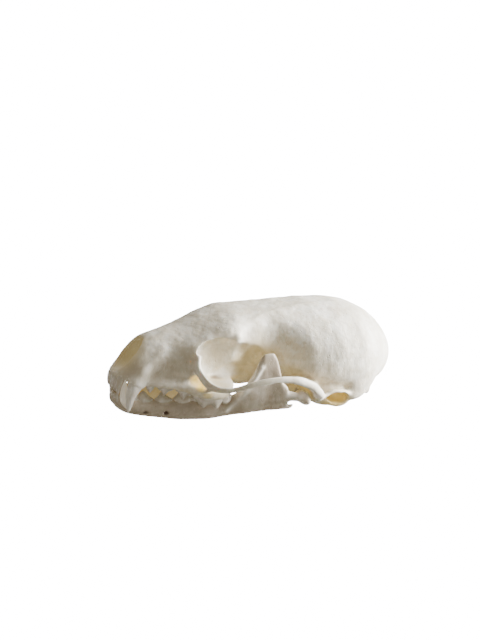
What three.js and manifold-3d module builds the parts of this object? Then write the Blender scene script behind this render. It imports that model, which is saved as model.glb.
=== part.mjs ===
// Skull of a marten, life size, with its lower jaw closed.
// It rests on the lower edges of the jaw and on the two ear bullae.
// Units are millimetres. The snout points to -X, the animal's left side is -Y and up is +Z.
// The floor is at Z = 0, and the origin is on it, under the middle of the skull.
import * as THREE from "three";
import { mergeVertices } from "three/addons/utils/BufferGeometryUtils.js";
import Module from "manifold-3d";

const wasm = await Module();
wasm.setup();

// ---- driving dimensions ----
const SNOUT_X = -41; // front of the premaxillae
const OCCIPUT_X = 41; // back of the braincase
const BRAINCASE_HALF = 17.3; // half the width of the braincase
const WAIST_HALF = 9.2; // half the width behind the orbits
const BROW_HALF = 12.6; // half the width over the postorbital processes
const CROWN_Z = 28.4; // top of the braincase
const ARCH_HALF = 24.4; // half the width over the cheek arches, at their middle line
const GUM_Z = 10; // edge of the upper tooth sockets beside the third premolar
const JAW_GUM_Z = 5.4; // edge of the lower tooth sockets
const GAP = 0.3; // width of the thin cuts that part the pieces
const NECK_CUT_X = 3; // cut between face and braincase, near the coronal suture
const BULLA_CUT_Z = 4.2; // cut between the bullae and the skull base
const SIDES = { left: -1, right: 1 };

// ---- materials ----
const bone = { color: 0xe6dfd0, roughness: 0.55, metalness: 0 };
const shadedBone = { color: 0xd8cbb0, roughness: 0.6, metalness: 0 };
const enamel = { color: 0xf1ece0, roughness: 0.3, metalness: 0 };

// ---- small tools ----

// Signed power, which turns a circle into a squarer or a more pointed ring.
function signedPower(value, power) {
  return Math.sign(value) * Math.abs(value) ** power;
}

// Smooth curve through the values of one key of a table, which never overshoots them.
function curveThrough(table, place, key) {
  const at = table.map((row) => row[place]);
  const value = table.map((row) => row[key]);
  const last = at.length - 1;
  const slope = [];
  for (let i = 0; i < last; i++) {
    slope.push((value[i + 1] - value[i]) / (at[i + 1] - at[i]));
  }
  const tangent = [slope[0]];
  for (let i = 1; i < last; i++) {
    const turns = slope[i - 1] * slope[i] <= 0;
    tangent.push(turns ? 0 : (2 * slope[i - 1] * slope[i]) / (slope[i - 1] + slope[i]));
  }
  tangent.push(slope[last - 1]);
  return (x) => {
    let i = 0;
    while (i < last - 1 && x > at[i + 1]) i++;
    const width = at[i + 1] - at[i];
    const t = THREE.MathUtils.clamp((x - at[i]) / width, 0, 1);
    const rise = t * t * (3 - 2 * t);
    const lift = t * (1 - t) * (1 - t) * tangent[i] - t * t * (1 - t) * tangent[i + 1];
    return value[i] + (value[i + 1] - value[i]) * rise + width * lift;
  };
}

// A closed three.js geometry as a solid, turned to face outwards.
function solidFrom(geometry) {
  const plain = geometry.clone();
  plain.deleteAttribute("normal");
  plain.deleteAttribute("uv");
  const merged = mergeVertices(plain, 1e-4);
  const vertProperties = merged.attributes.position.array;
  const triVerts = new Uint32Array(merged.index.array);
  const solid = new wasm.Manifold(new wasm.Mesh({ numProp: 3, vertProperties, triVerts }));
  if (solid.volume() > 0) return solid;
  triVerts.reverse();
  return new wasm.Manifold(new wasm.Mesh({ numProp: 3, vertProperties, triVerts }));
}

// A named mesh from a finished solid.
function meshFrom(name, solid, finish) {
  const made = solid.getMesh();
  const geometry = new THREE.BufferGeometry();
  geometry.setAttribute("position", new THREE.BufferAttribute(made.vertProperties, 3));
  geometry.setIndex(new THREE.BufferAttribute(made.triVerts, 1));
  geometry.computeVertexNormals();
  const mesh = new THREE.Mesh(geometry, new THREE.MeshStandardMaterial(finish));
  mesh.name = name;
  return mesh;
}

function joined(...solids) {
  return solids.flat().reduce((sum, solid) => sum.add(solid));
}

// A solid and its mirror image on the other side of the middle plane.
function bothSides(make) {
  return [make(SIDES.left), make(SIDES.right)];
}

// An ellipsoid at a place, with its three radii and turns about the three axes in degrees.
function lump(at, radii, turn = [0, 0, 0], detail = 10) {
  const geometry = new THREE.SphereGeometry(1, detail, Math.round(detail * 0.6));
  geometry.rotateX(Math.PI / 2);
  geometry.scale(...radii);
  const angles = turn.map(THREE.MathUtils.degToRad);
  geometry.applyMatrix4(new THREE.Matrix4().makeRotationFromEuler(new THREE.Euler(...angles)));
  geometry.translate(...at);
  return solidFrom(geometry);
}

// A block between two corners, used to keep or take away one region.
function block(low, high) {
  const size = high.map((v, i) => v - low[i]);
  const geometry = new THREE.BoxGeometry(...size);
  geometry.translate(...size.map((v, i) => low[i] + v / 2));
  return solidFrom(geometry);
}

// Wraps a cylinder round a line of rings. place(t, cos, sin, reach) gives each point.
function wrapped(rings, sides, place) {
  const geometry = new THREE.CylinderGeometry(1, 1, 1, sides, rings - 1);
  const position = geometry.attributes.position;
  for (let i = 0; i < position.count; i++) {
    const x = position.getX(i);
    const z = position.getZ(i);
    const reach = Math.min(1, Math.hypot(x, z));
    const angle = Math.atan2(z, x);
    const point = place(0.5 - position.getY(i), Math.cos(angle), Math.sin(angle), reach);
    position.setXYZ(i, ...point);
  }
  return solidFrom(geometry);
}

// A body along X whose height, depth, width and squareness follow a table of stations.
function loft(stations, rings, sides) {
  const read = {};
  for (const key of ["top", "wide", "floor", "half", "square"]) {
    read[key] = curveThrough(stations, "x", key);
  }
  const start = stations[0].x;
  const length = stations[stations.length - 1].x - start;
  return wrapped(rings, sides, (t, cos, sin, reach) => {
    const x = start + length * t;
    const power = 2 / read.square(x);
    const wide = read.wide(x);
    const span = sin > 0 ? read.top(x) - wide : wide - read.floor(x);
    const y = read.half(x) * reach * signedPower(cos, power);
    return [x, y, wide + span * reach * signedPower(sin, power)];
  });
}

// A bar along a smooth line. Each knot is a place with the bar's width and height there.
function bar(knots, rings, sides, square = 2) {
  const line = new THREE.CatmullRomCurve3(knots.map((k) => new THREE.Vector3(...k.at)));
  const table = knots.map((k, i) => ({ t: i / (knots.length - 1), wide: k.wide, high: k.high }));
  const wide = curveThrough(table, "t", "wide");
  const high = curveThrough(table, "t", "high");
  const up = new THREE.Vector3(0, 0, 1);
  return wrapped(rings, sides, (t, cos, sin, reach) => {
    const centre = line.getPoint(t);
    const ahead = line.getTangent(t);
    const across = new THREE.Vector3().crossVectors(up, ahead).normalize();
    const above = new THREE.Vector3().crossVectors(ahead, across);
    centre.addScaledVector(across, (wide(t) / 2) * reach * signedPower(cos, 2 / square));
    centre.addScaledVector(above, (high(t) / 2) * reach * signedPower(sin, 2 / square));
    return centre.toArray();
  });
}

// A tapering crown from a base in the bone to a tip. It curves by bow towards -X on the way.
function crown(base, tip, length, width, bow = 0, rings = 3, sides = 6) {
  return wrapped(rings, sides, (t, cos, sin, reach) => {
    const taper = (1 - t) ** 0.75 * 0.94 + 0.06;
    const x = THREE.MathUtils.lerp(base[0], tip[0], t) - bow * Math.sin(Math.PI * t);
    const y = THREE.MathUtils.lerp(base[1], tip[1], t);
    const z = THREE.MathUtils.lerp(base[2], tip[2], t);
    return [
      x + (length / 2) * taper * reach * cos,
      y + (width / 2) * taper * reach * sin,
      z,
    ];
  });
}

// ---- cranium ----

// Roof, braincase and base of the skull, from the nose to the back.
const VAULT = [
  { x: SNOUT_X, top: 14.2, wide: 12.9, floor: 11.6, half: 2.4, square: 2 },
  { x: -38.7, top: 16.3, wide: 13, floor: 10.9, half: 5.2, square: 2.3 },
  { x: -35, top: 20.2, wide: 13.4, floor: 10.8, half: 7.5, square: 2.3 },
  { x: -32, top: 22.6, wide: 13.6, floor: 10.8, half: 7.9, square: 2.3 },
  { x: -27, top: 23.9, wide: 13.8, floor: 10.6, half: 8.9, square: 2.3 },
  { x: -21, top: 25.1, wide: 15, floor: 10.4, half: 11.2, square: 2.3 },
  { x: -18, top: 25.8, wide: 15.8, floor: 10.8, half: 13.4, square: 2.1 },
  { x: -15, top: 26.6, wide: 20, floor: 11.4, half: 11.6, square: 2.2 },
  { x: -8.5, top: 28.1, wide: 22.6, floor: 12, half: BROW_HALF, square: 2.4 },
  { x: -4, top: 28.2, wide: 21.5, floor: 11, half: 10.4, square: 2.6 },
  { x: 2, top: 28.1, wide: 19, floor: 9, half: WAIST_HALF, square: 2.5 },
  { x: 8, top: 28.2, wide: 14, floor: 6.4, half: 13.2, square: 2.4 },
  { x: 14, top: CROWN_Z, wide: 12, floor: 5.2, half: 16.4, square: 2.3 },
  { x: 21, top: 27.8, wide: 11.4, floor: 4.6, half: BRAINCASE_HALF, square: 2.3 },
  { x: 28, top: 26.1, wide: 11, floor: 4.2, half: 16.4, square: 2.3 },
  { x: 34, top: 23, wide: 11.6, floor: 5, half: 12.8, square: 2.2 },
  { x: 38.5, top: 18.8, wide: 12, floor: 7, half: 8.2, square: 2 },
  { x: OCCIPUT_X, top: 15, wide: 12.4, floor: 10, half: 3.4, square: 2 },
];

// Sockets of the upper cheek teeth, which widen towards the molar, and the palate.
const UPPER_JAW = [
  { x: -35, top: 13, wide: 12.4, floor: 10.8, half: 7.4, square: 3.6 },
  { x: -30, top: 13, wide: 12.4, floor: 10.6, half: 8, square: 3.6 },
  { x: -25.5, top: 13, wide: 12, floor: GUM_Z, half: 9.6, square: 3.6 },
  { x: -20.5, top: 14, wide: 11.6, floor: 9, half: 12.4, square: 3.6 },
  { x: -16, top: 13.4, wide: 11, floor: 8.2, half: 14.3, square: 3.4 },
  { x: -12, top: 12.4, wide: 10.6, floor: 8, half: 14.4, square: 3.2 },
  { x: -9, top: 12, wide: 10.4, floor: 8.4, half: 11.6, square: 3.2 },
  { x: -7.4, top: 11.6, wide: 10.2, floor: 9, half: 8, square: 3 },
];

// Palatine and pterygoid bones, from the back of the palate to the base of the braincase.
const PTERYGOID = [
  { x: -14, top: 14, wide: 11.5, floor: 9.4, half: 6.5, square: 2.6 },
  { x: -6, top: 14, wide: 11, floor: 7.2, half: 5.7, square: 2.8 },
  { x: 2, top: 13, wide: 9, floor: 5.4, half: 5, square: 2.8 },
  { x: 8, top: 12, wide: 8, floor: 4.8, half: 5, square: 2.8 },
  { x: 13, top: 10, wide: 7.4, floor: 4.8, half: 4.6, square: 2.8 },
];

// Cheek arch of one side, from the front of the orbit back to the jaw joint.
function cheekArch(side) {
  return bar(
    [
      { at: [-20.4, 9.4 * side, 16.4], wide: 3, high: 4 },
      { at: [-20, 13 * side, 15.6], wide: 2.5, high: 4 },
      { at: [-18.8, 16 * side, 13.4], wide: 2.2, high: 3.5 },
      { at: [-16.6, 18.7 * side, 11.9], wide: 1.9, high: 2.8 },
      { at: [-13.2, 20.6 * side, 11.6], wide: 1.9, high: 2.3 },
      { at: [-8, 22.8 * side, 13.2], wide: 1.9, high: 2.4 },
      { at: [-1, 24.2 * side, 14.4], wide: 2, high: 2.5 },
      { at: [4.8, ARCH_HALF * side, 13.5], wide: 2.2, high: 2.7 },
      { at: [9.2, 23.4 * side, 11], wide: 2.5, high: 2.9 },
      { at: [12.2, 21.2 * side, 8], wide: 3, high: 3.2 },
      { at: [14, 16.6 * side, 6.6], wide: 3.6, high: 3.4 },
    ],
    18,
    7,
    2.3,
  );
}

// Outer wall of the tunnel in front of the orbit, which joins the arch to the tooth sockets.
function archFoot(side) {
  return bar(
    [
      { at: [-19.8, 10.8 * side, 10.2], wide: 3, high: 2.6 },
      { at: [-18.4, 14.2 * side, 10.2], wide: 2.6, high: 2.2 },
      { at: [-16.4, 18 * side, 11.4], wide: 2, high: 2 },
    ],
    4,
    6,
    2.3,
  );
}

// Shelf and rear lip of the jaw joint.
function jawSocket(side) {
  const shelf = lump([10.4, 14.6 * side, 10.6], [4.6, 8.4, 2.4], [-10 * side, 6, 0], 8);
  const lip = lump([12.3, 17 * side, 6.6], [1.4, 4.4, 2.7], [0, 12, 0], 8);
  return joined(shelf, lip);
}

// Low crest from the top of the back of the skull down to the mastoid process.
function nuchalCrest(side) {
  return bar(
    [
      { at: [38.4, 0, 18.4], wide: 1.8, high: 1.8 },
      { at: [37.2, 6.2 * side, 15.8], wide: 1.8, high: 1.8 },
      { at: [34.2, 11.4 * side, 11.4], wide: 1.8, high: 1.9 },
      { at: [29.6, 15.2 * side, 6.9], wide: 2, high: 2.4 },
      { at: [24, 16.4 * side, 4.2], wide: 2.4, high: 2.8 },
    ],
    7,
    5,
  );
}

function bulla(side) {
  return lump([20.4, 10 * side, 5.1], [8.6, 5.2, 5.3], [0, 0, -9 * side], 12);
}

function cheekTeethAbove(side) {
  return joined(
    crown([-31.6, 7.2 * side, 11.6], [-31.8, 7.3 * side, 8.9], 1.9, 1.5),
    crown([-28, 8.5 * side, 11.8], [-28.5, 8.7 * side, 7.6], 4.6, 2.2),
    crown([-22.9, 10.4 * side, 11.6], [-23.4, 10.7 * side, 6.6], 5.4, 2.6),
    crown([-18, 12.8 * side, 11], [-18.4, 13.1 * side, 4.8], 5, 3),
    crown([-14.8, 13.3 * side, 10.6], [-14.5, 13.6 * side, 4.6], 4.6, 2.6),
    crown([-19.4, 10.4 * side, 10.6], [-19.5, 10.2 * side, 7.9], 2.8, 2.6),
    crown([-11.6, 12.8 * side, 10.4], [-12.2, 13.4 * side, 5], 4.2, 3.4),
    crown([-10.9, 8.8 * side, 10.4], [-10.8, 8.2 * side, 7.5], 4.8, 4.6),
  );
}

function incisorsAbove(side) {
  return joined(
    crown([-40.1, 0.8 * side, 12.8], [-41, 0.85 * side, 8.9], 1.6, 1.5, 0, 3, 5),
    crown([-39.8, 2.2 * side, 12.8], [-40.7, 2.35 * side, 8.7], 1.8, 1.6, 0, 3, 5),
    crown([-39.1, 3.8 * side, 12.8], [-40.2, 3.9 * side, 8], 2.2, 1.8, 0.2, 3, 5),
  );
}

// Fang with a nearly straight front edge and a curved back edge.
function upperCanine(side) {
  return crown([-35, 7.2 * side, 13.6], [-37.8, 6.7 * side, 3.2], 5, 3.8, 0.5, 7, 9);
}

// Hollow of the orbit, which runs on into the temple behind it.
function orbitHollow(side) {
  return lump([-5.6, 19 * side, 16], [14.5, 12, 8], [0, 0, 0], 14);
}

// Tunnel through the cheek in front of the orbit.
function infraorbitalTunnel(side) {
  return bar(
    [
      { at: [-25, 12.4 * side, 13.4], wide: 3, high: 3.4 },
      { at: [-19.5, 13 * side, 13.4], wide: 2.6, high: 3.2 },
      { at: [-13, 15.5 * side, 14.4], wide: 3.4, high: 4.4 },
    ],
    4,
    7,
  );
}

// Nose opening, which slants back from the premaxillae to the tips of the nasals.
function noseHollow() {
  return lump([-35.6, 0, 18.6], [6, 4.4, 4.2], [0, -50, 0], 12);
}

// Everything that is taken away from the face and the braincase.
function craniumHollows() {
  return joined(
    bothSides(orbitHollow),
    bothSides(infraorbitalTunnel),
    noseHollow(),
    lump([-24, 0, 8.8], [17, 6, 3.1], [0, 3, 0], 11),
    lump([9, 0, 7], [11, 2.9, 2.6], [0, 6, 0]),
    lump([40.4, 0, 9.6], [9, 5.4, 4.4], [0, -28, 0], 11),
    bothSides((side) => lump([8.6, 18 * side, 6.6], [2.7, 6.6, 2.7])),
  );
}

function wholeCranium() {
  const outer = joined(
    loft(VAULT, 24, 16),
    loft(UPPER_JAW, 9, 10),
    loft(PTERYGOID, 4, 8),
    bothSides(cheekArch),
    bothSides(archFoot),
    bothSides(jawSocket),
    bothSides(nuchalCrest),
    bothSides(bulla),
    bothSides((side) => lump([23.6, 15.8 * side, 6.4], [3, 2, 3.4], [0, 0, 0], 8)),
    bothSides((side) => lump([30, 12.4 * side, 7.6], [1.6, 2.4, 3.8], [0, -6, 0], 8)),
    bothSides((side) => lump([36, 5.8 * side, 9], [2.4, 3.6, 3], [0, 20, 20 * side], 8)),
  );
  const teeth = joined(bothSides(cheekTeethAbove), bothSides(incisorsAbove));
  return outer.subtract(craniumHollows()).add(teeth);
}

// ---- lower jaw ----

// One half of the lower jaw as upright strips, with the middle line of each at its foot and head.
const JAW = [
  { x: -40.9, low: 4.9, head: 6.5, foot: 1.1, lean: 1.3, thick: 1.8 },
  { x: -39.5, low: 3.4, head: 6.6, foot: 1.8, lean: 2.5, thick: 2.9 },
  { x: -37.4, low: 2.3, head: 6.6, foot: 2.8, lean: 3.8, thick: 3.7 },
  { x: -34, low: 1.5, head: 6.4, foot: 4.4, lean: 5, thick: 3.6 },
  { x: -29, low: 0.8, head: 5.9, foot: 6, lean: 6.6, thick: 3.4 },
  { x: -23, low: 0, head: JAW_GUM_Z, foot: 7.8, lean: 8, thick: 3.4 },
  { x: -17, low: -0.2, head: JAW_GUM_Z, foot: 9.4, lean: 9.8, thick: 3.4 },
  { x: -11.4, low: 0.6, head: 5.6, foot: 10.6, lean: 10.7, thick: 2.9 },
  { x: -9, low: 1, head: 7.8, foot: 11.6, lean: 12.1, thick: 2.4 },
  { x: -6.4, low: 1.4, head: 12.6, foot: 13, lean: 15.2, thick: 2.3 },
  { x: -4, low: 1.8, head: 17, foot: 14, lean: 17, thick: 2 },
  { x: -2.2, low: 2.1, head: 19.9, foot: 14.8, lean: 18, thick: 1.9 },
  { x: -0.4, low: 2.3, head: 20, foot: 15.4, lean: 18.2, thick: 1.8 },
  { x: 1.4, low: 2.6, head: 17.6, foot: 16, lean: 18, thick: 1.8 },
  { x: 3, low: 3, head: 11.9, foot: 16.6, lean: 17.6, thick: 1.9 },
  { x: 4.8, low: 3.4, head: 8.4, foot: 17, lean: 17.4, thick: 2 },
];

function jawPlate(side) {
  const read = {};
  for (const key of ["low", "head", "foot", "lean", "thick"]) {
    read[key] = curveThrough(JAW, "x", key);
  }
  const start = JAW[0].x;
  const length = JAW[JAW.length - 1].x - start;
  return wrapped(22, 8, (t, cos, sin, reach) => {
    const x = start + length * t;
    const share = 0.5 + 0.5 * reach * signedPower(sin, 0.8);
    const middle = THREE.MathUtils.lerp(read.foot(x), read.lean(x), share);
    const z = THREE.MathUtils.lerp(read.low(x), read.head(x), share);
    return [x, side * (middle + (read.thick(x) / 2) * reach * signedPower(cos, 0.8)), z];
  });
}

function jawJoint(side) {
  const neck = bar(
    [
      { at: [1, 16.8 * side, 6.2], wide: 2, high: 5 },
      { at: [5, 17.2 * side, 6.4], wide: 2.4, high: 3.6 },
      { at: [8.2, 17.6 * side, 6.4], wide: 3, high: 2.8 },
    ],
    5,
    8,
  );
  const knuckle = lump([8.6, 17.8 * side, 6.5], [1.9, 4.8, 1.9], [0, 0, 0], 8);
  const angle = bar(
    [
      { at: [0.5, 15.9 * side, 4.4], wide: 2, high: 3 },
      { at: [3.6, 16.6 * side, 3.9], wide: 1.8, high: 1.8 },
      { at: [6, 16.8 * side, 3.9], wide: 1.3, high: 1.1 },
    ],
    4,
    8,
  );
  return joined(neck, knuckle, angle);
}

function cheekTeethBelow(side) {
  return joined(
    crown([-31.6, 5.5 * side, 4.6], [-32, 5.5 * side, 8.2], 4, 1.9),
    crown([-27.4, 6.5 * side, 4.4], [-27.6, 6.4 * side, 8.3], 5, 2.1),
    crown([-22.4, 7.8 * side, 4.2], [-22.4, 7.6 * side, 8.2], 5.8, 2.3),
    crown([-18.2, 9 * side, 4.2], [-18.4, 8.6 * side, 7.4], 3.6, 2.4),
    crown([-15.4, 9.8 * side, 4.2], [-15.1, 9.5 * side, 7.7], 4.2, 2.4),
    crown([-12, 10.9 * side, 4.6], [-12, 10.8 * side, 6.6], 3.8, 2.8),
    crown([-9.6, 11.8 * side, 5.6], [-9.6, 11.6 * side, 7.6], 2, 2),
    crown([-39.4, 0.8 * side, 5], [-40.2, 0.8 * side, 8.2], 1.3, 1.1, 0, 3, 5),
    crown([-39, 1.9 * side, 5], [-39.8, 2 * side, 8.2], 1.4, 1.2, 0, 3, 5),
  );
}

function lowerCanine(side) {
  return crown([-37.6, 4.2 * side, 5.4], [-38.4, 5.6 * side, 11.4], 3, 2.4, 0.3, 6, 8);
}

// Gap of the joint between the two halves of the jaw, and the floor under them.
function jawHalf(side) {
  const bone = joined(jawPlate(side), jawJoint(side), cheekTeethBelow(side));
  const inner = side * (GAP / 2);
  const outer = side * 40;
  const ownSide = block(
    [-60, Math.min(inner, outer), 0],
    [60, Math.max(inner, outer), 60],
  );
  return bone.intersect(ownSide);
}

// ---- parting and placing ----

// Keeps the part of a solid inside a block.
function within(solid, low, high) {
  return solid.intersect(block(low, high));
}

const FAR = 70;
const ARCH_FRONT_X = -15.2; // seam between the upper jaw and the cheek bone
const ARCH_REAR_X = 4.6; // seam between the cheek bone and the braincase
const ARCH_INNER = 15; // the cheek bone lies outside this distance from the middle
const GUM_LINE = { above: 10.5, below: 6.9 }; // ends of the canine crowns at their sockets

function build() {
  const cranium = wholeCranium();
  const skull = new THREE.Group();
  const half = GAP / 2;
  const cutters = [];
  for (const [label, side] of Object.entries(SIDES)) {
    const span = (near, far) => [side * near, side * far].sort((a, b) => a - b);

    const [archLow, archHigh] = span(ARCH_INNER, FAR);
    const archStart = [ARCH_FRONT_X + half, archLow, 5];
    const archEnd = [ARCH_REAR_X - half, archHigh, FAR];
    const arch = within(cheekArch(side), archStart, archEnd);
    skull.add(meshFrom(`cheek_arch_${label}`, arch, bone));
    cutters.push(block([ARCH_FRONT_X - half, archLow, 5], [ARCH_REAR_X + half, archHigh, FAR]));

    const [drumLow, drumHigh] = span(4.4, 15.4);
    const drum = within(bulla(side), [-FAR, -FAR, 0], [FAR, FAR, BULLA_CUT_Z - half]);
    skull.add(meshFrom(`ear_bulla_${label}`, drum, shadedBone));
    cutters.push(block([9, drumLow, -1], [28.8, drumHigh, BULLA_CUT_Z + half]));

    const fang = within(upperCanine(side), [-FAR, -FAR, 0], [FAR, FAR, GUM_LINE.above]);
    skull.add(meshFrom(`upper_canine_${label}`, fang, enamel));

    const tusk = within(lowerCanine(side), [-FAR, -FAR, GUM_LINE.below], [FAR, FAR, FAR]);
    skull.add(meshFrom(`lower_canine_${label}`, tusk, enamel));
    skull.add(meshFrom(`lower_jaw_${label}`, jawHalf(side), bone));
  }
  const rest = cutters.reduce((solid, cutter) => solid.subtract(cutter), cranium);
  const face = within(rest, [-FAR, -FAR, -FAR], [NECK_CUT_X - half, FAR, FAR]);
  const braincase = within(rest, [NECK_CUT_X + half, -FAR, -FAR], [FAR, FAR, FAR]);
  skull.add(meshFrom("face", face, bone));
  skull.add(meshFrom("braincase", braincase, bone));
  return skull;
}

export default build();
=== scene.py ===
import math

import bpy
import numpy as np
from mathutils import Matrix, Vector, noise


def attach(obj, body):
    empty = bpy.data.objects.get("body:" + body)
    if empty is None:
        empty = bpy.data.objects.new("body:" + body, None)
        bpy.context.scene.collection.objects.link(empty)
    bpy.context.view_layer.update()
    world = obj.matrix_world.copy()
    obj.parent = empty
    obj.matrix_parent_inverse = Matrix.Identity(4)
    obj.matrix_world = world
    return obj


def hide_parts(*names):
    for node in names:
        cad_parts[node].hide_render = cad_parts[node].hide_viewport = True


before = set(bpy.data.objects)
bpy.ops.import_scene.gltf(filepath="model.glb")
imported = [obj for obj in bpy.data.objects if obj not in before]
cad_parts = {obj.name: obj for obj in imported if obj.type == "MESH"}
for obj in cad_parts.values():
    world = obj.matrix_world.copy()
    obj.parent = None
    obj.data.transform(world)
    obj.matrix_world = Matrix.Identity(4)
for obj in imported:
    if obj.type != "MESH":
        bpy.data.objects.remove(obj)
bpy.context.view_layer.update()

# The skull is shaped in millimetres, snout to -X, left side -Y, floor at z = 0.
# Each finished piece is brought to metres at the end.
MM = 0.001
SIDES = {"left": -1, "right": 1}
BOTH = (-1, 1)


# ---------------------------------------------------------------- modelling helpers

def deselect():
    bpy.ops.object.select_all(action="DESELECT")


def alone(piece):
    deselect()
    piece.select_set(True)
    bpy.context.view_layer.objects.active = piece


def vectors_of(piece, what):
    flat = np.empty(len(piece.data.vertices) * 3)
    piece.data.vertices.foreach_get(what, flat)
    return flat.reshape(-1, 3)


def points_of(piece):
    return vectors_of(piece, "co")


def normals_of(piece):
    return vectors_of(piece, "normal")


def move_points(piece, points):
    piece.data.vertices.foreach_set("co", np.ascontiguousarray(points).ravel())
    piece.data.update()


def turn_faces_out(piece):
    alone(piece)
    bpy.ops.object.mode_set(mode="EDIT")
    bpy.ops.mesh.select_all(action="SELECT")
    bpy.ops.mesh.normals_make_consistent(inside=False)
    bpy.ops.object.mode_set(mode="OBJECT")


def finish_modifier(piece, kind, **settings):
    """Adds a modifier with its settings and applies it."""
    alone(piece)
    modifier = piece.modifiers.new(kind.title(), kind)
    for name, value in settings.items():
        setattr(modifier, name, value)
    bpy.ops.object.modifier_apply(modifier=modifier.name)


def joined(name, pieces):
    """Joins pieces into one object, which still holds them as separate shells."""
    deselect()
    for piece in pieces:
        piece.select_set(True)
    bpy.context.view_layer.objects.active = pieces[0]
    bpy.ops.object.join()
    whole = bpy.context.active_object
    whole.name = name
    return whole


def melt(piece, grain, smooth):
    """Melts overlapping bodies into one skin of even squares, and softens its creases."""
    finish_modifier(piece, "REMESH", mode="VOXEL", voxel_size=grain)
    if smooth:
        finish_modifier(piece, "SMOOTH", factor=0.5, iterations=smooth)


def hollowed(piece, cutters):
    """Takes the cutters away from the piece."""
    cutter = joined("hollows", cutters)
    finish_modifier(piece, "BOOLEAN", operation="DIFFERENCE", solver="EXACT", use_self=True,
                    object=cutter)
    bpy.data.objects.remove(cutter)


def curve_through(table, place, key):
    """A smooth curve through one column of a table, which never overshoots its values."""
    at = np.array([row[place] for row in table], float)
    value = np.array([row[key] for row in table], float)
    slope = np.diff(value) / np.diff(at)
    tangent = np.zeros(len(at))
    tangent[0], tangent[-1] = slope[0], slope[-1]
    for i in range(1, len(at) - 1):
        if slope[i - 1] * slope[i] > 0:
            tangent[i] = 2 * slope[i - 1] * slope[i] / (slope[i - 1] + slope[i])

    def read(x):
        x = np.clip(x, at[0], at[-1])
        i = np.clip(np.searchsorted(at, x, side="right") - 1, 0, len(at) - 2)
        width = at[i + 1] - at[i]
        t = (x - at[i]) / width
        rise = t * t * (3 - 2 * t)
        lift = t * (1 - t) ** 2 * tangent[i] - t * t * (1 - t) * tangent[i + 1]
        return value[i] + (value[i + 1] - value[i]) * rise + width * lift

    return read


def signed_power(value, power):
    """A power that keeps the sign, so that a round section can be squared or pinched."""
    return np.sign(value) * np.abs(value) ** power


def wrapped(name, around, along, place):
    """Wraps a ball round a line. place(t, cos, sin, reach) gives where each point goes."""
    deselect()
    bpy.ops.mesh.primitive_uv_sphere_add(segments=around, ring_count=along, radius=1)
    piece = bpy.context.active_object
    piece.name = name
    ball = points_of(piece)
    t = 0.5 + np.arcsin(np.clip(ball[:, 2], -1, 1)) / math.pi
    angle = np.arctan2(ball[:, 1], ball[:, 0])
    reach = (np.hypot(ball[:, 0], ball[:, 1]) > 1e-4).astype(float)
    move_points(piece, place(t, np.cos(angle), np.sin(angle), reach))
    turn_faces_out(piece)
    return piece


def loft(name, stations, around=48, along=120):
    """A body along X whose section follows a table, squared above and below its widest line."""
    read = {key: curve_through(stations, 0, i + 1)
            for i, key in enumerate(("top", "wide", "floor", "half", "square", "keel"))}
    start, end = stations[0][0], stations[-1][0]

    def place(t, cos, sin, reach):
        x = start + (end - start) * t
        power = 2 / np.where(sin > 0, read["square"](x), read["keel"](x))
        wide = read["wide"](x)
        span = np.where(sin > 0, read["top"](x) - wide, wide - read["floor"](x))
        y = read["half"](x) * reach * signed_power(cos, power)
        return np.stack([x, y, wide + span * reach * signed_power(sin, power)], 1)

    return wrapped(name, around, along, place)


def line_through(knots):
    """A smooth line through knots, as a function of t from 0 to 1."""
    knots = np.array(knots, float)
    before = 2 * knots[0] - knots[1]
    after = 2 * knots[-1] - knots[-2]
    rows = np.concatenate([[before], knots, [after]])

    def read(t):
        place = np.clip(np.asarray(t, float), 0, 1) * (len(knots) - 1)
        i = np.minimum(place.astype(int), len(knots) - 2)
        u = (place - i)[..., None]
        a, b, c, d = rows[i], rows[i + 1], rows[i + 2], rows[i + 3]
        return 0.5 * (2 * b + (c - a) * u + (2 * a - 5 * b + 4 * c - d) * u ** 2
                      + (3 * b - a - 3 * c + d) * u ** 3)

    return read


def on_side(place, side):
    """A place or direction that is given for the right side, on the side that is asked for."""
    return np.array(place, float) * (1, side, 1)


def unit(rows):
    return rows / np.linalg.norm(rows, axis=1)[:, None]


def bar(name, knots, side=1, around=20, along=60, square=2.0, up=(0, 0, 1)):
    """A bar along a smooth line. A knot is x, y, z, and the bar's width and height there."""
    knots = np.array(knots, float)
    line = line_through(on_side(knots[:, :3], side))
    size = line_through(knots[:, 3:5])
    lean = on_side(up, side)
    step = 0.01
    thinnest = 0.05

    def place(t, cos, sin, reach):
        centre = line(t)
        ahead = unit(line(np.minimum(t + step, 1)) - line(np.maximum(t - step, 0)))
        across = unit(np.cross(lean, ahead))
        above = np.cross(ahead, across)
        half = np.maximum(size(t), thinnest) / 2
        power = 2 / square
        return (centre + across * (half[:, 0] * reach * signed_power(cos, power))[:, None]
                + above * (half[:, 1] * reach * signed_power(sin, power))[:, None])

    return wrapped(name, around, along, place)


def lump(name, at, radii, turn=(0, 0, 0), around=28, along=18):
    """An ellipsoid at a place, turned about X, then Y, then Z by degrees."""
    deselect()
    bpy.ops.mesh.primitive_uv_sphere_add(segments=around, ring_count=along, radius=1)
    piece = bpy.context.active_object
    piece.name = name
    rotation = Matrix.Identity(4)
    for axis, angle in zip("XYZ", turn):
        rotation = Matrix.Rotation(math.radians(angle), 4, axis) @ rotation
    piece.data.transform(Matrix.Translation(at) @ rotation @ Matrix.Diagonal((*radii, 1)))
    return piece


def both(make):
    """Makes a part for the left side and for the right side."""
    return [make(side) for side in SIDES.values()]


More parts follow.
